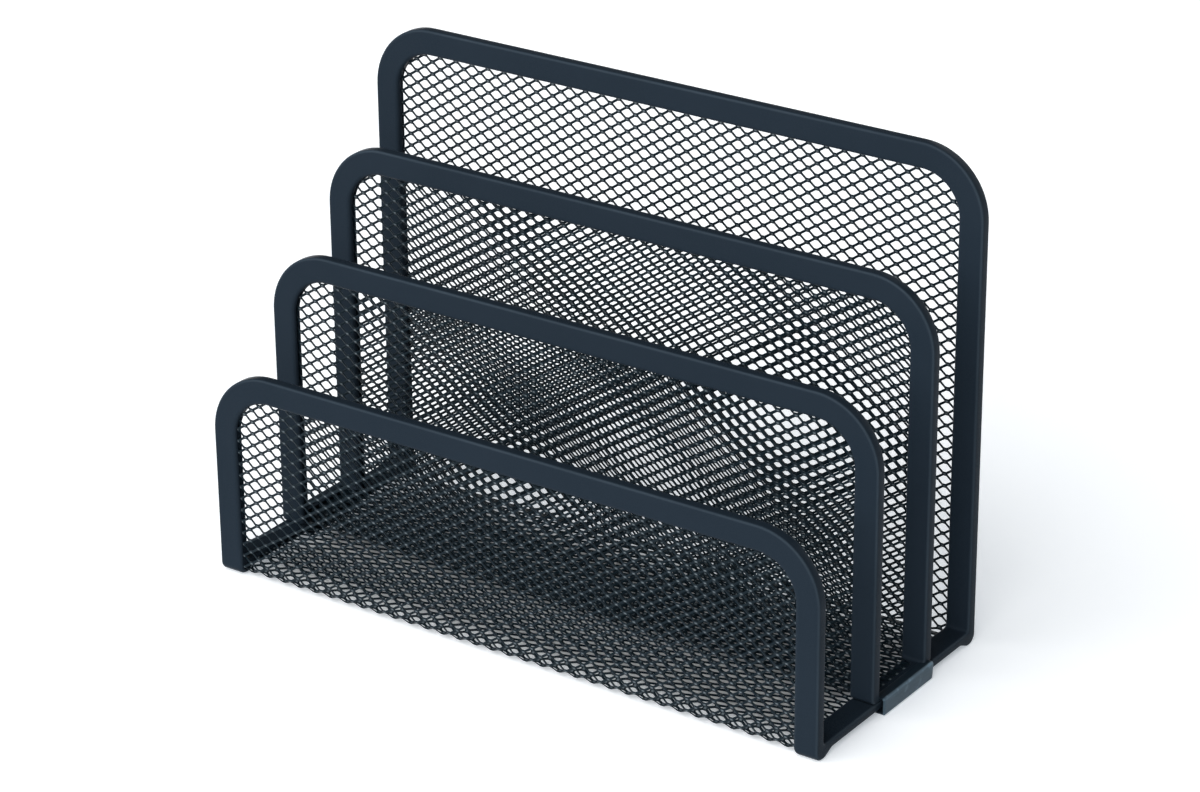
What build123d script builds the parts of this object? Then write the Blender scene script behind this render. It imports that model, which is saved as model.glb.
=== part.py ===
from build123d import *
import os
from math import ceil, hypot

# A desk letter sorter of expanded steel mesh. Four upright panels step up from front to rear
# and leave three compartments between them. An outer tray, bent from one mesh sheet, makes the
# front panel, the floor and the rear panel. An inner tray, bent from a second sheet, makes the
# second and third panels and stands on the outer floor. A rolled steel strip edges both sheets.
# Millimetres, +Z up, -Y towards the front, origin on the desk under the middle of the sorter.

# The panels
width = 190.0  # across the edge strip of every panel
depth = 78.0  # front face of the front panel to rear face of the rear panel
front_height = 60.5
second_height = 86.0
third_height = 108.5
rear_height = 136.0
second_setback = 26.5  # front face of the second panel, behind the front face of the first
third_setback = 52.0
corner_radius = 18.5  # outside edge of the strip at the top corners

# The rolled edge strip
strip_width = 7.2
strip_depth = 3.4
strip_wall = 0.5
strip_outer_round = 0.7
strip_inner_round = 0.5

# The mesh sheets. Their gaps are drawn three times as long as on the real sheet.
sheet_thickness = 0.6
outer_sheet_inset = 0.9  # outside face of the outer tray to its sheet
inner_sheet_inset = 1.4  # outside face of the inner tray to its sheet
sheet_grip = 4.0  # width of sheet held inside the strip
sheet_play = 0.05  # clearance each side of the sheet in its slot
gap_pitch_long = 16.05
gap_pitch_short = 10.3
strand_width = 1.5
least_gap_area = 4.0  # scraps of a gap smaller than this are left closed

# The floor, and the four bends of the outer strip that stand on the desk as feet
floor_lift = 1.5  # desk to the underside of the floor's strip
floor_strip_depth = 2.4
foot_height = 8.0
foot_length = 9.0
toe_length = 3.6  # front face of the foot to where its sole starts to rise
ramp_length = 3.4  # run of the rising sole
toe_radius = 2.6
ramp_radius = 1.6
heel_radius = 1.0  # inside corner between upright and floor

# The clamps: the inner strip folded round the edge of the outer floor
clamp_wall = 0.6
clamp_side_gap = 0.8
clamp_round = 1.1
clamp_lap = 3.0  # width of the upper flange
clamp_rear_setback = 1.3  # rear end of the clamp, before the rear face of the third panel
inner_floor_inset = 0.5  # side of the inner floor's sheet, inside the side of the outer floor

# Places that follow from the sizes above
front_y = -depth / 2
second_y = front_y + second_setback
third_y = front_y + third_setback
rear_y = depth / 2 - strip_depth
opening_width = width - 2 * strip_width
sheet_width = opening_width + 2 * sheet_grip
floor_length = depth - 2 * foot_length
floor_top = floor_lift + floor_strip_depth
inner_floor_top = floor_top + sheet_thickness
clamp_height = inner_floor_top + clamp_wall
clamp_side = width / 2 + clamp_side_gap + clamp_wall
inner_tray_length = third_y + strip_depth - second_y
inner_floor_width = width - 2 * inner_floor_inset
clamp_front = second_y + strip_depth + sheet_play
clamp_rear = third_y + strip_depth - clamp_rear_setback
lap_x = clamp_side - clamp_lap

os.makedirs("parts", exist_ok=True)


def keep(piece, name):
    """Label a finished sub-part and write it under its node's name."""
    piece.label = name
    export_step(piece, f"parts/{name}.step")
    print(f"{name}: {piece.volume / 1000:.2f} cm3")


def arch_face(across, low, high, corner):
    """A face that is square at its foot and has rounded top corners."""
    with BuildSketch() as face:
        with Locations((0, low)):
            Rectangle(across, high - low, align=(Align.CENTER, Align.MIN))
        fillet(face.vertices().group_by(Axis.Y)[-1], corner)
    return face.sketch


def plain_face(across, along):
    """A rectangle about the origin."""
    with BuildSketch() as face:
        Rectangle(across, along)
    return face.sketch


def diamond_gaps(window):
    """The staggered diamond gaps of the mesh that show inside a window."""
    box = window.bounding_box()
    columns = ceil(box.size.X / gap_pitch_long) + 1
    rows = ceil(box.size.Y / gap_pitch_short) + 1
    slope = hypot(gap_pitch_long, gap_pitch_short)
    long_half = gap_pitch_long / 2 - strand_width / 2 * slope / gap_pitch_short
    short_half = gap_pitch_short / 2 - strand_width / 2 * slope / gap_pitch_long
    with BuildSketch() as gap:
        Polygon((long_half, 0), (0, short_half), (-long_half, 0), (0, -short_half))
    gaps = []
    for stagger in (Vector(0, 0), Vector(gap_pitch_long / 2, gap_pitch_short / 2)):
        for place in GridLocations(gap_pitch_long, gap_pitch_short, columns, rows):
            shown = window.face().intersect(gap.face().moved(place).translate(box.center() + stagger))
            if shown and shown.face().area > least_gap_area:
                gaps.append(shown.face())
    return gaps


def mesh_sheet(plane, outline, window, name):
    """A flat stretch of mesh: one holed face, as thick as the sheet."""
    gaps = diamond_gaps(window)
    net = Face(outline.face().outer_wire(), [gap.outer_wire() for gap in gaps])
    with BuildPart() as sheet:
        with BuildSketch(plane):
            add(net, clean=False)
        extrude(amount=sheet_thickness, clean=False)
    keep(sheet.part, name)
    print(f"  {len(gaps)} gaps")


def panel_outline(low, height):
    """A panel's sheet, with the margin that its strip holds."""
    return arch_face(
        sheet_width,
        low,
        height - strip_width + sheet_grip,
        corner_radius - strip_width + sheet_grip,
    )


def inner_outline(height):
    """An inner panel's sheet, with a tongue that goes down between the clamps to the floor."""
    with BuildSketch() as face:
        add(panel_outline(clamp_height, height))
        with Locations((0, inner_floor_top)):
            Rectangle(opening_width - 2 * sheet_play, clamp_wall, align=(Align.CENTER, Align.MIN))
    return face.sketch


def panel_window(low, height):
    """Where a panel's sheet has gaps: inside its strip and above its bottom strand."""
    return arch_face(opening_width, low + strand_width, height - strip_width, corner_radius - strip_width)


def strip_section(depth_of_strip, sheet_inset):
    """The rolled strip cut across: outside edge at -X, its slot for the sheet at +X.

    The origin is the middle of the section, and its -Y face is the outside of the tray."""
    slot_y = sheet_inset + sheet_thickness / 2 - depth_of_strip / 2
    with BuildSketch() as section:
        Rectangle(strip_width, depth_of_strip)
        fillet(section.vertices().group_by(Axis.X)[0], strip_outer_round)
        fillet(section.vertices().group_by(Axis.X)[-1], strip_inner_round)
        Rectangle(strip_width - 2 * strip_wall, depth_of_strip - 2 * strip_wall, mode=Mode.SUBTRACT)
        with Locations((strip_width / 2, slot_y)):
            Rectangle(
                2 * strip_wall,
                sheet_thickness + 2 * sheet_play,
                align=(Align.MAX, Align.CENTER),
                mode=Mode.SUBTRACT,
            )
    return section.sketch


def panel_rim(face_y, low, height, sheet_inset, name):
    """The strip's arch round one panel: up the left side, over the top, down the right."""
    side = width / 2 - strip_width / 2
    top = height - strip_width / 2
    middle_y = face_y + strip_depth / 2
    with BuildPart() as rim:
        with BuildLine(Plane.XZ.offset(-middle_y)):
            FilletPolyline(
                (-side, low), (-side, top), (side, top), (side, low), radius=corner_radius - strip_width / 2
            )
        with BuildSketch(Plane((-side, middle_y, low))):
            add(strip_section(strip_depth, sheet_inset))
        sweep()
    keep(rim.part, name)


def sole_points(inset):
    """The foot's outside, from its upright down round the toe to the floor, moved inwards."""
    heel_y = front_y + toe_length + ramp_length
    return (
        (front_y + inset, foot_height),
        (front_y + inset, inset),
        (front_y + toe_length, inset),
        (heel_y, floor_lift + inset),
        (front_y + foot_length, floor_lift + inset),
    )


def toe_band(play):
    """The bent sheet at the front toe cut across, Y to the right, with play each side."""
    inset = outer_sheet_inset - play
    with BuildSketch() as band:
        with BuildLine():
            FilletPolyline(*sole_points(inset), radius=(toe_radius - inset, ramp_radius, ramp_radius))
            offset(amount=sheet_thickness + 2 * play, side=Side.LEFT)
        make_face()
    return band.sketch


def foot_face():
    """The front foot cut across, Y to the right: toe, rising sole and heel."""
    back_y = front_y + foot_length
    with BuildSketch() as face:
        with BuildLine():
            sole = FilletPolyline(*sole_points(0), radius=(toe_radius, ramp_radius, ramp_radius))
            FilletPolyline(
                sole @ 1,
                (back_y, floor_top),
                (front_y + strip_depth, floor_top),
                (front_y + strip_depth, foot_height),
                sole @ 0,
                radius=(0, heel_radius, 0),
            )
        make_face()
    return face.sketch


# The outer tray: front panel, toe bends, floor and rear panel
mesh_sheet(
    Plane.XZ.offset(depth / 2 - outer_sheet_inset - sheet_thickness),
    panel_outline(foot_height, front_height),
    panel_window(foot_height, front_height),
    "front_mesh",
)
mesh_sheet(
    Plane.XZ.offset(outer_sheet_inset - depth / 2),
    panel_outline(foot_height, rear_height),
    panel_window(foot_height, rear_height),
    "rear_mesh",
)
mesh_sheet(
    Plane.XY.offset(floor_lift + outer_sheet_inset),
    plain_face(sheet_width, floor_length),
    plain_face(opening_width, floor_length - 2 * strand_width),
    "floor_mesh",
)

with BuildPart() as front_toe_mesh:
    with BuildSketch(Plane.YZ):
        add(toe_band(0))
    extrude(amount=sheet_width / 2, both=True)
keep(front_toe_mesh.part, "front_toe_mesh")

with BuildPart() as rear_toe_mesh:
    mirror(front_toe_mesh.part, about=Plane.XZ)
keep(rear_toe_mesh.part, "rear_toe_mesh")

# The outer tray's edge strip: two arches, four feet and two runs along the floor
panel_rim(front_y, foot_height, front_height, outer_sheet_inset, "front_rim")
panel_rim(rear_y, foot_height, rear_height, strip_depth - outer_sheet_inset - sheet_thickness, "rear_rim")

with BuildPart() as front_right_foot:
    with BuildSketch(Plane.YZ.offset(width / 2 - strip_width)):
        add(foot_face())
    extrude(amount=strip_width)
    side_edges = front_right_foot.faces().sort_by(Axis.X)[-1].edges()
    joint_edges = side_edges.sort_by(Axis.Z)[-1:] + side_edges.sort_by(Axis.Y)[-1:]
    fillet(side_edges - joint_edges, strip_outer_round)
    with BuildSketch(Plane.YZ):
        add(toe_band(sheet_play))
    extrude(amount=sheet_width / 2 + sheet_play, mode=Mode.SUBTRACT)
keep(front_right_foot.part, "front_right_foot")

with BuildPart() as front_left_foot:
    mirror(front_right_foot.part, about=Plane.YZ)
keep(front_left_foot.part, "front_left_foot")

with BuildPart() as rear_right_foot:
    mirror(front_right_foot.part, about=Plane.XZ)
keep(rear_right_foot.part, "rear_right_foot")

with BuildPart() as rear_left_foot:
    mirror(front_left_foot.part, about=Plane.XZ)
keep(rear_left_foot.part, "rear_left_foot")

with BuildPart() as left_floor_rim:
    with BuildSketch(Plane.XZ):
        with Locations((strip_width / 2 - width / 2, floor_lift + floor_strip_depth / 2)):
            add(strip_section(floor_strip_depth, outer_sheet_inset))
    extrude(amount=floor_length / 2, both=True)
keep(left_floor_rim.part, "left_floor_rim")

with BuildPart() as right_floor_rim:
    mirror(left_floor_rim.part, about=Plane.YZ)
keep(right_floor_rim.part, "right_floor_rim")

# The inner tray: second panel, floor and third panel
for face_y, low, height, inset, name in (
    (second_y, inner_floor_top, second_height, inner_sheet_inset, "second"),
    (third_y, clamp_height, third_height, strip_depth - inner_sheet_inset - sheet_thickness, "third"),
):
    mesh_sheet(
        Plane.XZ.offset(-face_y - inset - sheet_thickness),
        inner_outline(height),
        panel_window(clamp_height, height),
        f"{name}_mesh",
    )
    panel_rim(face_y, low, height, inset, f"{name}_rim")

mesh_sheet(
    Plane.XY.offset(floor_top),
    plain_face(inner_floor_width, inner_tray_length),
    plain_face(2 * (lap_x - strand_width), inner_tray_length - 2 * strand_width),
    "inner_floor_mesh",
)

# The clamps that hold the inner tray's floor on the edge of the outer one. Each starts behind the
# second panel, and the third panel stands on its upper flange.
with BuildPart() as right_clamp:
    with BuildSketch(Plane.XZ.offset(-clamp_front)) as section:
        with Locations((width / 2 - strip_width, 0)):
            Rectangle(clamp_side - width / 2 + strip_width, clamp_height, align=Align.MIN)
        fillet(section.vertices().group_by(Axis.X)[-1], clamp_round)
        with Locations((width / 2 - strip_width, floor_lift)):
            Rectangle(
                strip_width + clamp_side_gap,
                floor_strip_depth + sheet_thickness,
                align=Align.MIN,
                mode=Mode.SUBTRACT,
            )
        with Locations((width / 2 - strip_width, inner_floor_top)):
            Rectangle(lap_x - width / 2 + strip_width, clamp_wall, align=Align.MIN, mode=Mode.SUBTRACT)
    extrude(amount=clamp_front - clamp_rear)
keep(right_clamp.part, "right_clamp")

with BuildPart() as left_clamp:
    mirror(right_clamp.part, about=Plane.YZ)
keep(left_clamp.part, "left_clamp")
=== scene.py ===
# %% [markdown]
# # A mesh letter sorter for the desk
# Four upright panels of expanded steel mesh step up from front to rear and leave three
# compartments for letters. Two sheets make it: an outer tray, bent into the front panel, the floor
# and the rear panel, and an inner tray, bent into the second and third panels. A rolled steel strip
# closes the cut edge of each sheet, and two folded plates hold the trays together at the floor.
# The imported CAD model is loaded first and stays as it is: it gives the places and sizes, and the
# pieces made below stand for its solids.

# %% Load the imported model
from bisect import bisect_right
from math import atan2, cos, hypot, radians, sin, tan

import bpy
from mathutils import Matrix, Vector


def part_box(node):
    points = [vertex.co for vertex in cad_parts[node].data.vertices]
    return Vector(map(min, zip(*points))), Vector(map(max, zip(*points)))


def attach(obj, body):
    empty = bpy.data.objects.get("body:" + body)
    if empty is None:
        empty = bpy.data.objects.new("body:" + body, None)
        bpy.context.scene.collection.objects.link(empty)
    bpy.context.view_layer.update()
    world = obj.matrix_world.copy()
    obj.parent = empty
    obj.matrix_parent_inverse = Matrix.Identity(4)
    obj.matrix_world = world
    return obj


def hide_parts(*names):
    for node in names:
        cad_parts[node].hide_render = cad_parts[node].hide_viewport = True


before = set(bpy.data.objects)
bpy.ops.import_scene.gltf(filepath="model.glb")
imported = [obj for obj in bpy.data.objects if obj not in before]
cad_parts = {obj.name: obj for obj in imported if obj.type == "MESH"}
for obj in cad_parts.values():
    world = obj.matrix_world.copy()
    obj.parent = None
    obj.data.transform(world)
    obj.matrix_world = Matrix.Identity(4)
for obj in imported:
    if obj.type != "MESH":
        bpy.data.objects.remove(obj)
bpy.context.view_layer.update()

MM = 0.001


def in_mm(point):
    """A point's coordinates in millimetres, for printing."""
    return [round(value / MM, 2) for value in point]


# %% [markdown]
# ## The camera
# The straight edges of the four panels fix the view: a long lens, about 35 degrees round to the
# right and 24 degrees up. A Track To constraint could aim a camera, but there is a small roll as
# well, so the camera's three axes are worked out and written into its matrix.

# %% Camera
FRAME_PIXELS = 1200  # across the picture
FOCAL_PIXELS = 3876.7
SENSOR_WIDTH = 36.0
CAMERA_AZIMUTH = radians(34.957)
CAMERA_ELEVATION = radians(24.346)
CAMERA_ROLL = radians(-0.494)
CAMERA_DISTANCE = 1003.9 * MM
aim = Vector((0.0, 1.0, 70.0)) * MM
aim_right, aim_up = 2.385 * MM, -8.611 * MM

ahead = Vector(
    (
        -sin(CAMERA_AZIMUTH) * cos(CAMERA_ELEVATION),
        cos(CAMERA_AZIMUTH) * cos(CAMERA_ELEVATION),
        -sin(CAMERA_ELEVATION),
    )
)
level_right = Vector((cos(CAMERA_AZIMUTH), sin(CAMERA_AZIMUTH), 0.0))
level_up = level_right.cross(ahead)
camera_right = level_right * cos(CAMERA_ROLL) + level_up * sin(CAMERA_ROLL)
camera_up = level_up * cos(CAMERA_ROLL) - level_right * sin(CAMERA_ROLL)

camera_data = bpy.data.cameras.new("camera")
camera_data.sensor_fit = "HORIZONTAL"
camera_data.sensor_width = SENSOR_WIDTH
camera_data.lens = FOCAL_PIXELS * SENSOR_WIDTH / FRAME_PIXELS
camera = bpy.data.objects.new("camera", camera_data)
camera.matrix_world = Matrix.Translation(
    aim + level_right * aim_right + level_up * aim_up - ahead * CAMERA_DISTANCE
) @ Matrix((camera_right, camera_up, -ahead)).transposed().to_4x4()
bpy.context.collection.objects.link(camera)
bpy.context.scene.camera = camera
print("camera at, mm:", in_mm(camera.matrix_world.translation), "lens", round(camera_data.lens, 2))

# %% [markdown]
# ## Sizes from the frame
# Every piece is built round the solids that it stands for, so most of its sizes are read from
# their boxes. That keeps the pieces right when the solids change, which numbers typed in here
# would not.

# %% Sizes
front_low, front_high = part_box("front_rim")
rear_low, rear_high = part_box("rear_rim")
second_low, second_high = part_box("second_rim")
third_low, third_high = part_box("third_rim")
run_low, run_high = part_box("right_floor_rim")
foot_low, foot_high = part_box("front_right_foot")
clamp_low, clamp_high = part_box("right_clamp")

half_width = front_high.x
strip_width = run_high.x - run_low.x
strip_depth = front_high.y - front_low.y
foot_length = foot_high.y - foot_low.y
print("strip, mm:", round(strip_width / MM, 2), "by", round(strip_depth / MM, 2))

# %% [markdown]
# ## Lines with rounded corners
# Rolled strip and bent sheet both follow lines that run straight and turn on a radius. A curve
# object would give such a line too, but the strip needs the direction at each point, so that its
# section can be set square to it. The helper below returns both.


# %% Rounded lines
def rounded_line(corners, radii, steps):
    """Points on a flat line through corners, each inner one turned on its radius, with directions."""
    corners = [Vector(corner) for corner in corners]
    line = [(corners[0], (corners[1] - corners[0]).normalized())]
    for before, corner, after, radius in zip(corners, corners[1:], corners[2:], radii):
        enter, leave = (corner - before).normalized(), (after - corner).normalized()
        turn = atan2(enter.cross(leave), enter.dot(leave))
        side = 1 if turn > 0 else -1
        start = corner - enter * radius * abs(tan(turn / 2))
        centre = start + Vector((-enter.y, enter.x)) * side * radius
        for step in range(steps + 1):
            heading = Matrix.Rotation(turn * step / steps, 2) @ enter
            line.append((centre - Vector((-heading.y, heading.x)) * side * radius, heading))
    line.append((corners[-1], line[-1][1]))
    return line


class Line:
    """A flat line that can be asked for its point and direction at a length along it."""

    def __init__(self, corners, radii, steps=8):
        self.stops = rounded_line(corners, radii, steps)
        self.lengths = [0.0]
        for (one, _), (other, _) in zip(self.stops, self.stops[1:]):
            self.lengths.append(self.lengths[-1] + (other - one).length)
        self.length = self.lengths[-1]

    def at(self, length):
        last = len(self.stops) - 2
        index = min(max(bisect_right(self.lengths, length) - 1, 0), last)
        share = (length - self.lengths[index]) / (self.lengths[index + 1] - self.lengths[index])
        (one, heading), (other, next_heading) = self.stops[index], self.stops[index + 1]
        return one + (other - one) * share, (heading + (next_heading - heading) * share).normalized()


quarter_turn = Line(((0, 0), (1, 0), (1, 1)), (1,))
print("a quarter turn on a radius of 1 has a length of", round(quarter_turn.length, 2))

# %% [markdown]
# ## The edge strip's section
# On the real sorter a flat steel strip is rolled into a channel and closed over the raw edge of
# the mesh. Cut across, it is a narrow C: two flat faces, a rounded outside edge, and two lips that
# grip the sheet. A Bevel modifier on a box could round the edges, but the lips and the changing
# depth at the feet are easier to draw point by point. Each point also carries how far it lies on a
# rounded edge, which the paint uses later.

# %% Section of the strip
OUTER_ROUND = 0.7 * MM
LIP_ROUND = 1.1 * MM
STRIP_WALL = 0.5 * MM
SLOT = 0.7 * MM
ROUND_STEPS = 6
FLAT_MARGIN = 0.3 * MM  # keeps the shading of a flat face flat up to its rounded edge
LIP_HIGHLIGHT = 0.25  # the edge value of a lip, which takes less of the painted highlight
OUTER_SHARE, LIP_SHARE, WALL_SHARE = 0.45, 0.33, 0.25  # most of the depth that each may take
SLOT_LOW, SLOT_HIGH = 0.35, 0.65  # the depths between which the slot stays


def quarter_round(centre, radius, start, most=1.0):
    """Points on a quarter circle, turning clockwise from start degrees, with their edge value."""
    points = []
    for step in range(ROUND_STEPS + 1):
        share = step / ROUND_STEPS
        angle = radians(start - 90 * share)
        edge = most * (1 - abs(2 * share - 1))
        points.append((centre[0] + radius * cos(angle), centre[1] + radius * sin(angle), edge))
    return points


def strip_section(depth, sheet_inset):
    """The channel cut across: (from the outside edge inwards, from the outside face through, edge)."""
    outer = min(OUTER_ROUND, OUTER_SHARE * depth)
    lip = min(LIP_ROUND, LIP_SHARE * depth)
    wall = min(STRIP_WALL, WALL_SHARE * depth)
    low = min(sheet_inset - SLOT / 2, SLOT_LOW * depth)
    high = min(sheet_inset + SLOT / 2, SLOT_HIGH * depth)
    inside = strip_width - wall
    return [
        (strip_width, low, 0.0),
        *quarter_round((strip_width - lip, lip), lip, 360, LIP_HIGHLIGHT),
        (strip_width - lip - FLAT_MARGIN, 0.0, 0.0),
        (outer + FLAT_MARGIN, 0.0, 0.0),
        *quarter_round((outer, outer), outer, 270),
        *quarter_round((outer, depth - outer), outer, 180),
        (outer + FLAT_MARGIN, depth, 0.0),
        (strip_width - lip - FLAT_MARGIN, depth, 0.0),
        *quarter_round((strip_width - lip, depth - lip), lip, 90, LIP_HIGHLIGHT),
        (strip_width, high, 0.0),
        (inside, high, 0.0),
        (inside, depth - wall, 0.0),
        (wall, depth - wall, 0.0),
        (wall, wall, 0.0),
        (inside, wall, 0.0),
        (inside, low, 0.0),
    ]


print("points in the strip's section:", len(strip_section(strip_depth, strip_depth / 2)))

# %% [markdown]
# ## The path of an edge strip
# One strip goes all the way round a tray: over the front panel, down through a foot, along the
# floor, up through the rear foot, over the rear panel and back along the other side. At a foot the
# strip is squeezed, so its outside and inside follow two different lines. Each station on the path
# holds a point on the outside edge, the direction across the strip, and the step through it.

# %% Stations along a strip
CORNER_RADIUS = 18.5 * MM
CORNER_STEPS = 20
TURN_STATIONS = 40


def arch_stations(low, high, outside, through):
    """Over a panel, up its left side and down its right."""
    corners = ((-half_width, low), (-half_width, high), (half_width, high), (half_width, low))
    return [
        (Vector((point.x, outside, point.y)), Vector((heading.y, 0, -heading.x)), through)
        for point, heading in rounded_line(corners, (CORNER_RADIUS, CORNER_RADIUS), CORNER_STEPS)
    ]


def turn_stations(side, face, inwards, outside_line, inside_line, floor_share):
    """From a panel's side round to the floor. The two lines give (distance behind the face, height)."""
    stations = []
    for step in range(1, TURN_STATIONS + 1):
        share = step / TURN_STATIONS
        across = 1 + (floor_share - 1) * max(2 * share - 1, 0)
        outside, _ = outside_line.at(outside_line.length * share)
        inside, _ = inside_line.at(inside_line.length * share)
        point = Vector((side * half_width, face + inwards * outside.x, outside.y))
        other = Vector((side * half_width, face + inwards * inside.x, inside.y))
        stations.append((point, Vector((-side * across, 0, 0)), other - point))
    return stations


def tray_stations(front, rear, outside_line, inside_line, floor_share=1.0):
    """The closed path of a tray's strip, from the boxes of its two rims."""
    (front_foot, front_top), (_, rear_top) = front, rear
    lines = outside_line, inside_line, floor_share
    start = outside_line.at(0)[0].y
    step = Vector((0, strip_depth, 0))
    right_front = turn_stations(1, front_foot.y, 1, *lines)
    right_rear = turn_stations(1, rear_top.y, -1, *lines)
    left_rear = turn_stations(-1, rear_top.y, -1, *lines)
    left_front = turn_stations(-1, front_foot.y, 1, *lines)
    front_arch = arch_stations(start, front_top.z, front_foot.y, step)
    rear_arch = arch_stations(start, rear_top.z, rear_top.y, -step)
    return [
        *front_arch,
        *right_front,
        *reversed(right_rear),
        *reversed(rear_arch),
        *left_rear,
        *reversed(left_front),
    ]


# %% [markdown]
# ## Sweeping the section
# With the stations known, the strip is a section set up at each of them and joined to the next by
# a ring of faces. The ends meet, so the mesh is closed. The faces are shaded smooth except where
# two of them meet at a real corner, as on the lips.

# %% Sweep
SHARP_ANGLE = radians(50)


def mesh_object(name, points, faces, attribute, values):
    """A new object from points and faces, with one value for each point."""
    mesh = bpy.data.meshes.new(name)
    mesh.from_pydata(points, [], faces)
    mesh.attributes.new(attribute, "FLOAT", "POINT").data.foreach_set("value", values)
    mesh.shade_smooth()
    piece = bpy.data.objects.new(name, mesh)
    bpy.context.collection.objects.link(piece)
    return piece


def swept_strip(name, stations, sheet_inset):
    """The closed channel that follows the stations."""
    points, values, faces = [], [], []
    for point, across, through in stations:
        depth = through.length
        for inwards, deep, edge in strip_section(depth, sheet_inset):
            points.append(point + across * inwards + through * (deep / depth))
            values.append(edge)
    ring = len(points) // len(stations)
    for station in range(len(stations)):
        here, there = station * ring, (station + 1) % len(stations) * ring
        for k in range(ring):
            after = (k + 1) % ring
            faces.append((here + k, here + after, there + after, there + k))
    piece = mesh_object(name, points, faces, "edge", values)
    piece.data.set_sharp_from_angle(angle=SHARP_ANGLE)
    print(name, "stations", len(stations), "faces", len(faces))
    return piece


# %% [markdown]
# ## The outer edge strip
# The outer tray stands on the four bends of its strip. Each bend goes down in a rounded toe to the
# desk, then its sole rises to the floor, which hangs a little above the desk. Inside, the upright
# meets the floor in a tight corner.

# %% Outer edge strip
TOE_LENGTH = 3.6 * MM
RAMP_LENGTH = 3.4 * MM
TOE_RADIUS = 2.6 * MM
RAMP_RADIUS = 1.6 * MM
HEEL_RADIUS = 1.0 * MM
foot_top = foot_high.z
outer_sheet_low, outer_sheet_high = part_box("front_mesh")
outer_inset = (outer_sheet_low.y + outer_sheet_high.y) / 2 - front_low.y

foot_outside = Line(
    (
        (0, foot_top),
        (0, foot_low.z),
        (TOE_LENGTH, foot_low.z),
        (TOE_LENGTH + RAMP_LENGTH, run_low.z),
        (foot_length, run_low.z),
    ),
    (TOE_RADIUS, RAMP_RADIUS, RAMP_RADIUS),
)
foot_inside = Line(
    ((strip_depth, foot_top), (strip_depth, run_high.z), (foot_length, run_high.z)), (HEEL_RADIUS,)
)
outer_strip = swept_strip(
    "outer_edge_strip",
    tray_stations((front_low, front_high), (rear_low, rear_high), foot_outside, foot_inside),
    outer_inset,
)

# %% [markdown]
# ## The inner edge strip
# The inner tray has a strip of the same kind. Between its two panels it is trimmed to less than
# half its width, pressed thin, and lies on the floor of the outer tray inside the folded plates.
# One share of the width, reached in the second half of each bend, gives that taper.

# %% Inner edge strip
BEND_START = 6.6 * MM
BEND_LENGTH = 5.2 * MM
BEND_RADIUS = 1.5 * MM
RUN_PRESSED = 0.9 * MM
RUN_COVER = 0.2 * MM  # of the plate over the pressed run
FLOOR_SHARE = 0.4  # of the strip's width, where it runs along the floor
inner_sheet_low, inner_sheet_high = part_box("second_mesh")
inner_inset = (inner_sheet_low.y + inner_sheet_high.y) / 2 - second_low.y
run_top = clamp_high.z - RUN_COVER
run_under = run_top - RUN_PRESSED

bend_outside = Line(((0, BEND_START), (0, run_under), (BEND_LENGTH, run_under)), (BEND_RADIUS,))
bend_inside = Line(
    ((strip_depth, BEND_START), (strip_depth, run_top), (BEND_LENGTH, run_top)), (HEEL_RADIUS,)
)
inner_strip = swept_strip(
    "inner_edge_strip",
    tray_stations(
        (second_low, second_high), (third_low, third_high), bend_outside, bend_inside, FLOOR_SHARE
    ),
    inner_inset,
)

# %% [markdown]
# ## The mesh
# Expanded metal is sheet that was slit in staggered rows and pulled open. Each slit becomes a long
# gap with blunt ends, the strands between gaps lean like the slats of a blind, and where four
# strands meet there is a knuckle twice as wide. A wireframe of a flat grid would give round wires
# without that lean. Here one diamond of the net is drawn round its gap, with its thickness, and is
# repeated over the flat sheet.

# %% One diamond of the net
LONG_PITCH = 5.32 * MM
SHORT_PITCH = 3.415 * MM
STRAND_RISE = 0.66 * MM  # height of a strand where it joins a knuckle
KNUCKLE_LENGTH = 0.85 * MM  # along the flat of a gap
GAP_LENGTH = 3.63 * MM
GAP_BLUNT = 0.26 * MM  # height of the blunt ends of a gap
STRAND_THICKNESS = 0.26 * MM
STRAND_ROUND = 0.07 * MM
STRAND_TILT = radians(20)
BORDER, GAP = 12, 8  # points round a diamond and round its gap

gap_loop = [
    (GAP_LENGTH / 2, -GAP_BLUNT / 2),
    (GAP_LENGTH / 2, GAP_BLUNT / 2),
    (KNUCKLE_LENGTH / 2, SHORT_PITCH / 2 - STRAND_RISE),
    (-KNUCKLE_LENGTH / 2, SHORT_PITCH / 2 - STRAND_RISE),
]
gap_loop = [Vector(point) for point in gap_loop]
gap_loop += [-point for point in gap_loop]


def grown(loop, amount):
    """A loop of points moved outwards, square to its sides."""
    moved = []
    for before, point, after in zip(loop[-1:] + loop[:-1], loop, loop[1:] + loop[:1]):
        sides = [(point - before).normalized(), (after - point).normalized()]
        one, other = (Vector((side.y, -side.x)) for side in sides)
        outwards = (one + other).normalized()
        moved.append(point + outwards * amount / outwards.dot(one))
    return moved


lip_loop = grown(gap_loop, STRAND_ROUND)
quarter = [
    Vector((LONG_PITCH / 2, 0)),
    (gap_loop[1] + Vector((LONG_PITCH, SHORT_PITCH)) / 2 - gap_loop[2]) / 2,
    (gap_loop[2] + Vector((LONG_PITCH, SHORT_PITCH)) / 2 - gap_loop[1]) / 2,
    Vector((0, SHORT_PITCH / 2)),
]
border_loop = quarter + [Vector((-point.x, point.y)) for point in quarter[2:0:-1]]
border_loop += [-point for point in border_loop]

tile_faces = []
for side in range(4):
    corner, near, far, following = (side * 3 + k for k in range(4))
    first, second, third = (BORDER + (2 * side + k) % GAP for k in range(3))
    tile_faces += [
        (corner, second, first),
        (corner, near, second),
        (near, far, third, second),
        (far, following % BORDER, third),
    ]
print("a diamond has", BORDER, "border points,", GAP, "gap points and", len(tile_faces), "faces a side")

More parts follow.
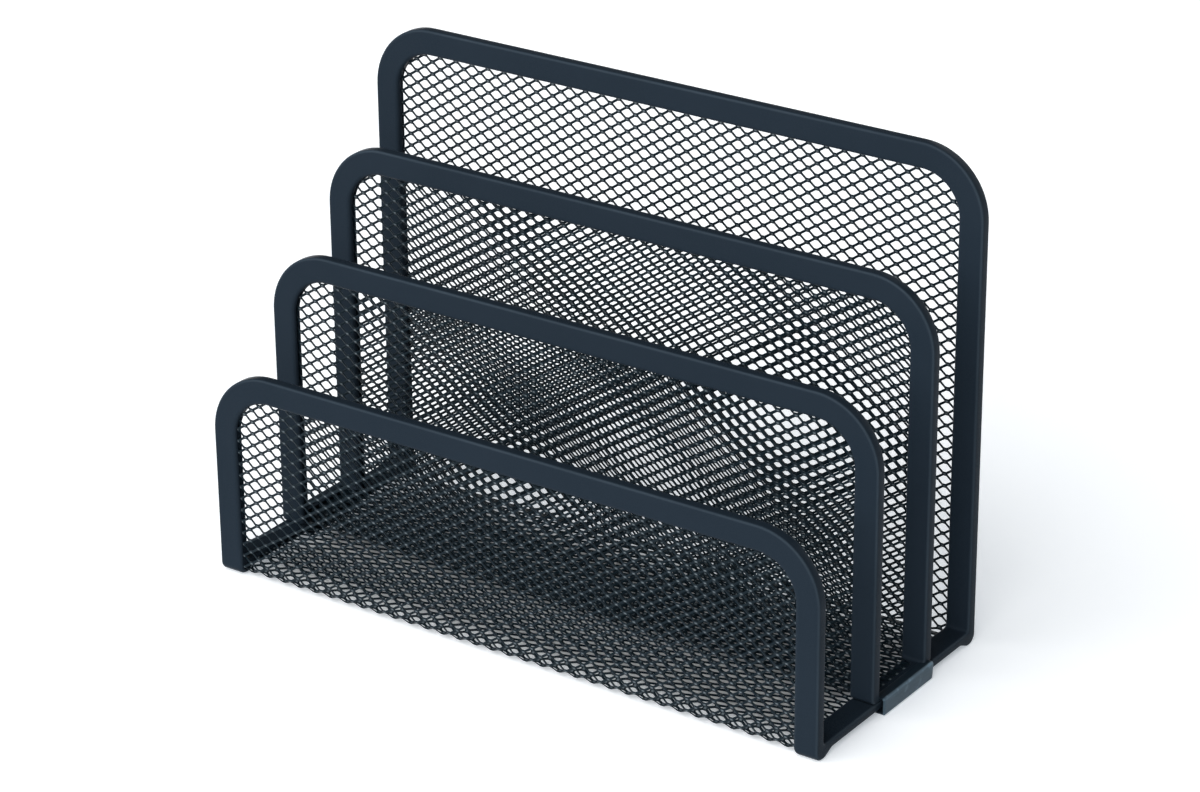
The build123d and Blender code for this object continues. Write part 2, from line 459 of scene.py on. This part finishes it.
# %% [markdown]
# ## Laying the net on a bent sheet
# The net is laid out flat, with one coordinate across the sorter and one along the sheet, from the
# top of its front panel down, over the floor and up to the top of its rear panel. The sheet's own
# line then carries each point to its place, so the mesh runs through the bends as the real one
# does. Whole diamonds are kept wherever they show in the opening of the strip, and their outer
# corners end out of sight inside it.


# %% Bent sheets
FLAT_HEADING = 0.1  # a sheet that rises less than this is a floor
SPARE = 2  # columns and rows past the edges, which keeps() then drops


class Sheet:
    """A bent sheet and the opening that its strip leaves, laid out flat."""

    def __init__(self, line, lean, shift=0.0, half_floor=None):
        self.line, self.lean, self.shift, self.half_floor = line, lean, shift, half_floor
        self.half_opening = half_width - strip_width
        self.radius = CORNER_RADIUS - strip_width

    def place(self, across, along, out):
        """The point in space of a point on the flat sheet, moved out of it by a distance."""
        point, heading = self.line.at(along)
        return across, point.x + out * heading.y, point.y - out * heading.x

    def shows(self, across, along):
        """Whether a point of the flat sheet lies in the opening."""
        half_length = self.line.length / 2
        past_side = max(abs(across) - (self.half_opening - self.radius), 0)
        past_end = max(abs(along - half_length) - (half_length - strip_width - self.radius), 0)
        return hypot(past_side, past_end) < self.radius

    def keeps(self, across, along):
        """Whether any of a diamond shows. A floor with a side of its own takes whole diamonds only."""
        if self.half_floor and abs(self.line.at(along)[1].y) < FLAT_HEADING:
            return abs(across) + LONG_PITCH / 2 < self.half_floor
        return any(self.shows(across + point.x, along + point.y) for point in border_loop)

    def centre(self, column, row):
        """The middle of a diamond, from its place in half pitches."""
        return column * LONG_PITCH / 2 + self.shift, row * SHORT_PITCH / 2

    def diamonds(self, first, last):
        """Columns and rows of the diamonds that show, between two lengths along the sheet."""
        columns = int(half_width / LONG_PITCH * 2) + SPARE
        rows = int(self.line.length / SHORT_PITCH * 2) + SPARE
        found = []
        for row in range(rows):
            if first <= row * SHORT_PITCH / 2 < last:
                for column in range(-columns, columns + 1):
                    if (row + column) % 2 == 0 and self.keeps(*self.centre(column, row)):
                        found.append((column, row))
        return found


# %% [markdown]
# ## Joining the diamonds
# Two neighbouring diamonds have to use the same points where they meet, or hidden walls are left
# inside the strands. Merging points that lie close together could do that. It is surer to give each
# border point a name that both diamonds work out alike: the knuckle that it is on, or the two that
# it lies between. Only the border of the whole net is then left open, and it is closed by a wall.

# %% Net pieces
CORNERS = (1, 0), (0, 1), (-1, 0), (0, -1)  # knuckles round a diamond, in half pitches
GAP_KNUCKLES = 0, 0, 1, 1, 0, 0, -1, -1  # rows of the knuckles next to the points of a gap
KNUCKLE_VALUE, STRAND_VALUE, LIP_VALUE, GAP_VALUE = 1.0, 0.3, 0.1, 0.0  # nearness to a knuckle


def border_name(column, row, k):
    """The name of a diamond's border point, from the diamond's place in half pitches."""
    side, part = divmod(k, 3)
    here, there = ((column + x, row + y) for x, y in (CORNERS[side], CORNERS[(side + 1) % 4]))
    return ((here, here), (here, there), (there, here))[part]


def net_piece(name, sheet, first, last):
    """The part of a sheet's net between two lengths, as one closed mesh."""
    lean = tan(STRAND_TILT) * sheet.lean
    tilt = Vector((-lean, 1)).normalized() * STRAND_THICKNESS / 2
    points, values, faces, shared, sides = [], [], [], {}, {}

    def add(centre, point, knuckle, face, value):
        """One point of a diamond, on a face of its strands, 1 or -1, or between them, 0."""
        out = lean * (point.y - knuckle * SHORT_PITCH / 2)
        along = centre[1] + point.y + face * tilt.x
        points.append(sheet.place(centre[0] + point.x, along, out + face * tilt.y))
        values.append(value)
        return len(points) - 1

    def border_ring(column, row, face):
        """The border points on one face, made by the first diamond that needs them."""
        found = []
        for k, point in enumerate(border_loop):
            place = border_name(column, row, k), face
            if place not in shared:
                knuckle = round(point.y / (SHORT_PITCH / 2))
                value = STRAND_VALUE if k % 3 else KNUCKLE_VALUE
                shared[place] = add(sheet.centre(column, row), point, knuckle, face, value)
            found.append(shared[place])
        return found

    def gap_ring(centre, loop, face, value):
        """Points round a gap, each level with the knuckle that it lies next to."""
        return [
            add(centre, point, knuckle, face, value) for point, knuckle in zip(loop, GAP_KNUCKLES)
        ]

    for column, row in sheet.diamonds(first, last):
        centre = sheet.centre(column, row)
        middle = gap_ring(centre, gap_loop, 0, GAP_VALUE)
        borders = [border_ring(column, row, face) for face in (1, -1)]
        for face, border in zip((1, -1), borders):
            lips = gap_ring(centre, lip_loop, face, LIP_VALUE)
            numbers = border + lips
            for corners in tile_faces:
                faces.append([numbers[k] for k in corners][::-face])
            for k in range(GAP):
                after = (k + 1) % GAP
                faces.append([middle[k], middle[after], lips[after], lips[k]][::face])
        above, below = borders
        for k in range(BORDER):
            after = (k + 1) % BORDER
            sides[above[k], above[after]] = below[after], below[k]
    for (one, other), shadow_mask in sides.items():
        if (other, one) not in sides:
            faces.append((one, other, *shadow_mask))
    piece = mesh_object(name, points, faces, "knuckle", values)
    triangles = sum(len(face) - 2 for face in faces)
    print(name, "points", len(points), "triangles", triangles)
    return piece


# %% [markdown]
# ## The outer mesh
# The outer sheet starts at the top of the front panel and ends at the top of the rear panel. It is
# made as three pieces, split between two rows of diamonds near the toe bends, so that each piece
# stands for its own solids.

# %% Outer mesh
SHEET_TOE_RADIUS = 1.4 * MM
floor_sheet_low, floor_sheet_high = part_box("floor_mesh")
floor_sheet = (floor_sheet_low.z + floor_sheet_high.z) / 2
toe_sheet = foot_low.z + outer_inset
front_sheet, rear_sheet = front_low.y + outer_inset, rear_high.y - outer_inset
toe_end, ramp_end = front_low.y + TOE_LENGTH, front_low.y + TOE_LENGTH + RAMP_LENGTH

outer_sheet = Sheet(
    Line(
        (
            (front_sheet, front_high.z),
            (front_sheet, toe_sheet),
            (toe_end, toe_sheet),
            (ramp_end, floor_sheet),
            (-ramp_end, floor_sheet),
            (-toe_end, toe_sheet),
            (rear_sheet, toe_sheet),
            (rear_sheet, rear_high.z),
        ),
        (SHEET_TOE_RADIUS, RAMP_RADIUS, RAMP_RADIUS, RAMP_RADIUS, RAMP_RADIUS, SHEET_TOE_RADIUS),
    ),
    lean=-1,
)
floor_start = front_high.z + TOE_LENGTH + RAMP_LENGTH
floor_stop = floor_start + floor_sheet_high.y - floor_sheet_low.y
front_net = net_piece("front_panel_mesh", outer_sheet, 0, floor_start)
floor_net = net_piece("floor_panel_mesh", outer_sheet, floor_start, floor_stop)
rear_net = net_piece("rear_panel_mesh", outer_sheet, floor_stop, outer_sheet.line.length)

# %% [markdown]
# ## The inner mesh
# The inner sheet is bent the same way and its strands lean the same way, so from in front the
# upright panels look open and the floors look dense. Its floor has no strip of its own width at the
# sides, so there the net ends in whole diamonds, under the folded plates.

# %% Inner mesh
INNER_BEND_RADIUS = 1.5 * MM
INNER_SHIFT = 1.0 * MM  # of its net across, against that of the outer sheet
inner_floor_low, inner_floor_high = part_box("inner_floor_mesh")
inner_floor = (inner_floor_low.z + inner_floor_high.z) / 2
second_sheet, third_sheet = second_low.y + inner_inset, third_high.y - inner_inset

inner_sheet = Sheet(
    Line(
        (
            (second_sheet, second_high.z),
            (second_sheet, inner_floor),
            (third_sheet, inner_floor),
            (third_sheet, third_high.z),
        ),
        (INNER_BEND_RADIUS, INNER_BEND_RADIUS),
    ),
    lean=-1,
    shift=INNER_SHIFT,
    half_floor=half_width,
)
inner_start = second_high.z - inner_floor
inner_stop = inner_start + third_sheet - second_sheet
second_net = net_piece("second_panel_mesh", inner_sheet, 0, inner_start)
inner_floor_net = net_piece("inner_floor_panel_mesh", inner_sheet, inner_start, inner_stop)
third_net = net_piece("third_panel_mesh", inner_sheet, inner_stop, inner_sheet.line.length)

# %% [markdown]
# ## The clamp plates
# At each side a plate folded into a C holds the floors of the two trays together. It is made from
# the line of the fold, drawn out along the side, with its lower corners cut round. A Solidify
# modifier gives it the thickness of the steel and a Bevel modifier breaks its edges. Each point
# also carries how pale the coat is painted there: most on the folds, as a painted highlight, some
# on the outer side, with streaks and scuffs, not on the flanges.

# %% Clamp plates
PLATE_WALL = 0.6 * MM
PLATE_ROUND = 0.75 * MM
PLATE_LAP = 3.0 * MM  # width of the upper flange
FRONT_CORNER = 0.5 * MM
REAR_CORNER = 1.8 * MM
WALL_PALENESS = 0.5  # the outer side's paleness, against that of a fold
PLATE_EDGE = 0.16 * MM
EDGE_STEPS = 2
PLATE_SHARES = 0.0, 0.04, 0.35, 0.65, 0.96, 1.0  # of its length, where rows of points cross it


def corner_cut(radius, height):
    """How far a rounded lower corner cuts back at a height above its plate's underside."""
    low = min(max(radius - height, 0), radius)
    return radius - (radius**2 - low**2) ** 0.5


def clamp_plate(name, side):
    """The folded plate at one side of the sorter."""
    fold = rounded_line(
        (
            (clamp_high.x - PLATE_LAP, clamp_high.z),
            (clamp_high.x, clamp_high.z),
            (clamp_high.x, clamp_low.z),
            (clamp_low.x, clamp_low.z),
        ),
        (PLATE_ROUND, PLATE_ROUND),
        ROUND_STEPS,
    )
    points, values, faces = [], [], []
    for point, heading in fold:
        height = point.y - clamp_low.z
        start = clamp_low.y + corner_cut(FRONT_CORNER, height)
        stop = clamp_high.y - corner_cut(REAR_CORNER, height)
        # how pale the coat is painted here: a painted highlight on the folds, less on the outer side
        fold_highlight_and_rub = abs(heading.y) * WALL_PALENESS + abs(heading.x * heading.y)
        for share in PLATE_SHARES:
            points.append((side * point.x, start + (stop - start) * share, point.y))
            values.append(fold_highlight_and_rub)
    row = len(PLATE_SHARES)
    for step in range(len(fold) - 1):
        for k in range(row - 1):
            here = step * row + k
            faces.append([here, here + row, here + row + 1, here + 1][::side])
    piece = mesh_object(name, points, faces, "edge", values)
    wall = piece.modifiers.new("wall", "SOLIDIFY")
    wall.thickness = PLATE_WALL
    wall.offset = -1
    wall.use_even_offset = True
    edge = piece.modifiers.new("edge", "BEVEL")
    edge.width = PLATE_EDGE
    edge.segments = EDGE_STEPS
    edge.limit_method = "ANGLE"
    edge.angle_limit = SHARP_ANGLE
    print(name, "faces", len(faces))
    return piece


right_plate = clamp_plate("right_clamp_plate", 1)
left_plate = clamp_plate("left_clamp_plate", -1)

# %% [markdown]
# ## Shader maths in Python
# A material's node tree is a sum of small steps, and written node by node it is hard to read. One
# class below wraps an output socket, so that an expression such as 1 - mask adds the Math nodes
# itself. The other makes any node from its type, its settings and what goes into its sockets.

# %% Node helpers
MIX_ONE, MIX_OTHER, MIX_COLOUR = 6, 7, 2  # a Mix node's sockets for colours


class Wire:
    """An output socket that takes part in sums."""

    def __init__(self, finish, socket):
        self.finish, self.socket = finish, socket

    def math(self, operation, one, other):
        return self.finish.node("ShaderNodeMath", {"operation": operation}, {0: one, 1: other})

    def __add__(self, other):
        return self.math("ADD", self, other)

    def __sub__(self, other):
        return self.math("SUBTRACT", self, other)

    def __rsub__(self, other):
        return self.math("SUBTRACT", other, self)

    def __mul__(self, other):
        return self.math("MULTIPLY", self, other)

    __radd__ = __add__
    __rmul__ = __mul__

    def at_most(self, other):
        return self.math("MINIMUM", self, other)

    def at_least(self, other):
        return self.math("MAXIMUM", self, other)


class Finish:
    """The node tree of a material or of the world."""

    def __init__(self, owner):
        owner.use_nodes = True
        self.tree = owner.node_tree
        self.tree.nodes.clear()

    def node(self, kind, settings=None, sockets=None, output=0):
        """A node of any type, its settings first and its sockets after, and one of its outputs."""
        made = self.tree.nodes.new(kind)
        for name, value in (settings or {}).items():
            if name == "stops":
                while len(made.color_ramp.elements) < len(value):
                    made.color_ramp.elements.new(1.0)
                for element, (place, colour) in zip(made.color_ramp.elements, value):
                    element.position, element.color = place, colour
            else:
                setattr(made, name, value)
        for key, value in (sockets or {}).items():
            if isinstance(value, Wire):
                self.tree.links.new(value.socket, made.inputs[key])
            else:
                made.inputs[key].default_value = value
        return Wire(self, made.outputs[output]) if made.outputs else None

    def blend(self, share, one, other):
        """A colour between two others."""
        sockets = {0: share, MIX_ONE: one, MIX_OTHER: other}
        return self.node("ShaderNodeMix", {"data_type": "RGBA"}, sockets, MIX_COLOUR)

    def noise(self, place, size, detail, rough=0.5):
        """Soft noise with features of about one size, from 0 to 1."""
        sockets = {"Vector": place, "Scale": 1 / size, "Detail": detail, "Roughness": rough}
        return self.node("ShaderNodeTexNoise", None, sockets)


def colour(red, green, blue):
    """A colour with its alpha."""
    return red, green, blue, 1.0


# %% [markdown]
# ## Powder coat
# All the steel is sprayed with a dry slate-black powder that melts into a satin coat. It is never
# quite even: the tone drifts a little over a few centimetres, it has a fine grain, and the melt
# leaves a shallow orange peel about a millimetre across. Rounded edges are painted a paler tone,
# broken up by noise, as a painted highlight, and there the coat is a little less rough. A single
# colour with one roughness would look like plastic, so each of these is a noise of its own size.

# %% Powder coat
COAT_DRIFT = 28 * MM
COAT_PEEL = 1.1 * MM
COAT_GRAIN = 0.16 * MM
COAT_IOR = 1.45
TONE_DRIFT, TONE_GRAIN, TONE_LESS = 0.65, 0.5, 0.08  # what makes the tone, from deep to pale
EDGE_HIGHLIGHT_DRIFT, EDGE_HIGHLIGHT_GRAIN, EDGE_HIGHLIGHT_LESS = 0.8, 0.6, 0.1  # what breaks up the painted highlight on an edge
GLOSS_DRIFT, GLOSS_GRAIN, GLOSS_ON_HIGHLIGHT = 0.10, 0.08, 0.10  # what changes the roughness
EVEN = 0.5  # the middle of a noise
PEEL_GRAIN = 0.25  # height of the grain against the peel
PEEL_STRENGTH = 0.6
STREAK_DRAW = (1.0, 0.05, 1.0)  # shrinks the distance along a plate, which draws noise out along it
STREAK_WIDTH = 0.5 * MM
STREAK_SHARE = 0.5
SCUFF_SIZE = 4.0 * MM
SCUFF_START, SCUFF_STEEP = 0.54, 7.0  # the noise at which a scuff starts, and how fast it grows
SCUFF_SHARE = 0.6


def held(value):
    """A value kept between 0 and 1."""
    return value.at_least(0.0).at_most(1.0)


def rubbing(finish, place):
    """Streaks along a plate with a few scuffs."""
    sockets = {0: place, 1: STREAK_DRAW}
    drawn_out = finish.node("ShaderNodeVectorMath", {"operation": "MULTIPLY"}, sockets)
    streaks = finish.noise(drawn_out, STREAK_WIDTH, detail=2.0)
    scuffs = finish.noise(place, SCUFF_SIZE, detail=4.0, rough=0.6)
    return streaks * STREAK_SHARE + held((scuffs - SCUFF_START) * SCUFF_STEEP) * SCUFF_SHARE


def coat(name, tones, attribute, edge_start, edge_share, roughness, specular, peel_depth, rubbed=0.0):
    """A satin powder coat: deep, pale and edge tones, where edges start, gloss, peel, painted
    highlight, rubbing.
    """
    deep, pale, highlight_tone = tones
    material = bpy.data.materials.new(name)
    finish = Finish(material)
    place = finish.node("ShaderNodeTexCoord", output="Object")
    edge = finish.node("ShaderNodeAttribute", {"attribute_name": attribute}, output="Fac")
    drift = finish.noise(place, COAT_DRIFT, detail=3.0)
    peel = finish.noise(place, COAT_PEEL, detail=2.0)
    grain = finish.noise(place, COAT_GRAIN, detail=1.0)
    tone = held(drift * TONE_DRIFT + grain * TONE_GRAIN - TONE_LESS)
    edge = ((edge - edge_start) * (1 / (1 - edge_start))).at_least(0.0)
    # Painted highlight: the edge tone is mixed in along rounded edges, knuckles and folds; on the
    # plates the streaks and scuffs add to it.
    highlight_and_wear = held(edge * (drift * EDGE_HIGHLIGHT_DRIFT + grain * EDGE_HIGHLIGHT_GRAIN - EDGE_HIGHLIGHT_LESS)) * edge_share
    if rubbed:
        highlight_and_wear = (highlight_and_wear + edge * rubbing(finish, place) * rubbed).at_most(1.0)
    base = finish.blend(highlight_and_wear, finish.blend(tone, deep, pale), highlight_tone)
    uneven = (drift - EVEN) * GLOSS_DRIFT + (grain - EVEN) * GLOSS_GRAIN
    height = peel + grain * PEEL_GRAIN
    relief = finish.node(
        "ShaderNodeBump",
        None,
        {"Strength": PEEL_STRENGTH, "Distance": peel_depth, "Height": height},
    )
    shader = finish.node(
        "ShaderNodeBsdfPrincipled",
        None,
        {
            "Base Color": base,
            "Roughness": roughness + uneven - highlight_and_wear * GLOSS_ON_HIGHLIGHT,
            "Normal": relief,
            "IOR": COAT_IOR,
            "Specular IOR Level": specular,
        },
    )
    finish.node("ShaderNodeOutputMaterial", None, {"Surface": shader})
    print(name, "nodes", len(finish.tree.nodes))
    return material


# %% [markdown]
# ## The strips' coat
# The strips are smooth and flat, so their coat is the most even of the three. Their outer edges are
# painted paler, a painted highlight along the rounded edges. The value that each point of the section
# carries says where those edges are, which an image texture could do too, but only with a careful
# unwrap.

# %% Powder coat on the strips
strip_coat = coat(
    "strip_powder_coat",
    tones=(
        colour(0.0130, 0.0212, 0.0312),
        colour(0.0174, 0.0267, 0.0388),
        # the edge tone, a painted highlight on the rounded edges
        colour(0.0700, 0.0980, 0.1250),
    ),
    attribute="edge",
    edge_start=0.0,
    edge_share=0.5,
    roughness=0.28,
    specular=0.03,
    peel_depth=0.02 * MM,
)

# %% [markdown]
# ## Powder coat on the mesh
# On thin strands the powder stays dark. The knuckles are broader, and each is painted as a small paler
# spot, a painted highlight, since a real highlight would be lost at this size. The net carries a value
# that is highest at each knuckle, which takes the place of the strip's edges in the same coat.

# %% Powder coat on the mesh
mesh_coat = coat(
    "mesh_powder_coat",
    tones=(
        colour(0.0040, 0.0105, 0.0160),
        colour(0.0058, 0.0138, 0.0200),
        # the knuckles' tone, a painted highlight on each knuckle
        colour(0.3000, 0.3600, 0.4000),
    ),
    attribute="knuckle",
    edge_start=0.4,
    edge_share=0.9,
    roughness=0.40,
    specular=0.12,
    peel_depth=0.012 * MM,
)

# %% [markdown]
# ## The plates' coat
# The plates' folds are painted paler, a painted highlight along the folds, and their outer sides are
# paler as well, with fine streaks along the fold and a few scuffs. Stretching the coordinates along
# the plate turns an ordinary noise into streaks.

# %% Powder coat on the plates
plate_coat = coat(
    "plate_powder_coat",
    tones=(
        colour(0.0100, 0.0190, 0.0280),
        colour(0.0140, 0.0240, 0.0350),
        # the tone of folds and outer sides: a painted highlight on the folds, and streaks and scuffs
        colour(0.1650, 0.2550, 0.3300),
    ),
    attribute="edge",
    edge_start=0.0,
    edge_share=0.7,
    roughness=0.36,
    specular=0.1,
    peel_depth=0.02 * MM,
    rubbed=0.9,
)

# %% [markdown]
# ## Dressing the pieces
# Each piece takes its coat, rides on the sorter's one body, names the material slot that it belongs
# to, and says which solids it stands for.

# %% Coats, body, slots and solids
dressed = (
    (
        outer_strip,
        strip_coat,
        "edge_strip",
        (
            "front_rim",
            "rear_rim",
            "front_right_foot",
            "front_left_foot",
            "rear_right_foot",
            "rear_left_foot",
            "right_floor_rim",
            "left_floor_rim",
        ),
    ),
    (inner_strip, strip_coat, "edge_strip", ("second_rim", "third_rim")),
    (right_plate, plate_coat, "edge_strip", ("right_clamp",)),
    (left_plate, plate_coat, "edge_strip", ("left_clamp",)),
    (front_net, mesh_coat, "mesh", ("front_mesh", "front_toe_mesh")),
    (floor_net, mesh_coat, "mesh", ("floor_mesh",)),
    (rear_net, mesh_coat, "mesh", ("rear_mesh", "rear_toe_mesh")),
    (second_net, mesh_coat, "mesh", ("second_mesh",)),
    (inner_floor_net, mesh_coat, "mesh", ("inner_floor_mesh",)),
    (third_net, mesh_coat, "mesh", ("third_mesh",)),
)
for piece, material, slot, solids in dressed:
    piece.data.materials.append(material)
    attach(piece, "root")
    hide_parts(*solids)
print("pieces dressed:", len(dressed))

# %% [markdown]
# ## The floor
# The sorter stands on a plain white sweep, here a large flat sheet. The floor adds some white of its
# own to what the camera and reflections see, so that it reads as white while it still takes the
# sorter's shadow. More light would whiten it as well, but would also wash out the black coat. Under
# the trays the added white fades out, which paints a shadow where little light reaches.

# %% Floor
FLOOR_HALF = 8.0
FLOOR_DROP = 0.02 * MM  # below the soles, so that the two never share a plane
FLOOR_COLOUR = colour(0.95, 0.95, 0.95)
FLOOR_LIFT = colour(0.36, 0.39, 0.42)  # a little cool, as daylight in a shadow is
UNDER_FADE = 14 * MM  # from the edge of the trays inwards
UNDER_SHADOW_LOSS = 0.9  # of the lift, taken away under the middle of the trays as a painted shadow

floor_points = [
    (x * FLOOR_HALF, y * FLOOR_HALF, -FLOOR_DROP) for x, y in ((-1, -1), (1, -1), (1, 1), (-1, 1))
]
floor = mesh_object("floor", floor_points, [(0, 1, 2, 3)], "edge", [0.0] * len(floor_points))

floor_material = bpy.data.materials.new("floor_white")
finish = Finish(floor_material)
seen = finish.node("ShaderNodeLightPath", output="Is Camera Ray")
for ray in ("Is Glossy Ray", "Is Transmission Ray"):
    seen = seen.at_least(finish.node("ShaderNodeLightPath", output=ray))
place = finish.node("ShaderNodeTexCoord", output="Object")
aside = finish.node("ShaderNodeVectorMath", {"operation": "ABSOLUTE"}, {0: place})
inside_x = half_width - finish.node("ShaderNodeSeparateXYZ", None, {0: aside}, "X")
inside_y = rear_high.y - finish.node("ShaderNodeSeparateXYZ", None, {0: aside}, "Y")
# A painted shadow: the floor's added white fades out under the trays.
shadow_mask = held(inside_x * (1 / UNDER_FADE)) * held(inside_y * (1 / UNDER_FADE))
lifted_share = seen * (1 - shadow_mask * UNDER_SHADOW_LOSS)
matt = finish.node("ShaderNodeBsdfDiffuse", None, {"Color": FLOOR_COLOUR})
lift = finish.node("ShaderNodeEmission", None, {"Color": FLOOR_LIFT, "Strength": 1.0})
lifted = finish.node("ShaderNodeAddShader", None, {0: matt, 1: lift})
surface = finish.node("ShaderNodeMixShader", None, {0: lifted_share, 1: matt, 2: lifted})
finish.node("ShaderNodeOutputMaterial", None, {"Surface": surface})
floor.data.materials.append(floor_material)
print("floor half width, m:", FLOOR_HALF)

# %% [markdown]
# ## Two soft lights
# A soft light comes from in front and a little from the left, as from a large window, and a weaker
# one from low behind keeps the rear panel from going black. Area lamps would need a place and a
# size. Sun lamps with a wide angle give the same soft shadow and the same light all over the sorter.

# %% Light
KEY_AZIMUTH = radians(-14)  # to the left of straight in front
KEY_ELEVATION = radians(28)
KEY_STRENGTH = 4.2
KEY_SPREAD = radians(90)
FILL_AZIMUTH = radians(176)
FILL_ELEVATION = radians(13)
FILL_STRENGTH = 1.5
FILL_SPREAD = radians(56)


def soft_light(name, azimuth, elevation, strength, spread):
    """A wide, distant light from an azimuth, counted from straight in front to the right."""
    light = bpy.data.lights.new(name, "SUN")
    light.energy = strength
    light.angle = spread
    lamp = bpy.data.objects.new(name, light)
    towards = Vector(
        (sin(azimuth) * cos(elevation), -cos(azimuth) * cos(elevation), sin(elevation))
    )
    lamp.rotation_euler = towards.to_track_quat("Z", "Y").to_euler()
    bpy.context.collection.objects.link(lamp)
    print(name, "light comes from", [round(value, 2) for value in towards])


soft_light("key", KEY_AZIMUTH, KEY_ELEVATION, KEY_STRENGTH, KEY_SPREAD)
soft_light("fill", FILL_AZIMUTH, FILL_ELEVATION, FILL_STRENGTH, FILL_SPREAD)

# %% [markdown]
# ## Surroundings
# Around the sorter it is pale at eye level and dim above, like a studio with white walls and a dark
# ceiling. A plain grey world would be simpler, but a bright ceiling washes out the tops of the
# strips. A colour ramp over the height of the view direction gives both.

# %% Surroundings
WALL_TOP = 0.05  # sine of the elevation up to which the walls are white
CEILING_START = 0.24  # sine of the elevation from which the ceiling is dark
CEILING = colour(0.05, 0.05, 0.05)
WALL = colour(1.0, 1.0, 1.0)

world = bpy.data.worlds.new("studio")
bpy.context.scene.world = world
finish = Finish(world)
direction = finish.node("ShaderNodeTexCoord", output="Generated")
height = finish.node("ShaderNodeSeparateXYZ", None, {0: direction}, "Z")
tone = finish.node(
    "ShaderNodeValToRGB",
    {"stops": ((WALL_TOP, WALL), (CEILING_START, CEILING))},
    {"Fac": height},
)
background = finish.node("ShaderNodeBackground", None, {"Color": tone, "Strength": 1.0})
finish.node("ShaderNodeOutputWorld", None, {"Surface": background})
bpy.context.scene.view_settings.view_transform = "Standard"
print("world nodes", len(finish.tree.nodes))

# %% Finish
bpy.context.view_layer.update()
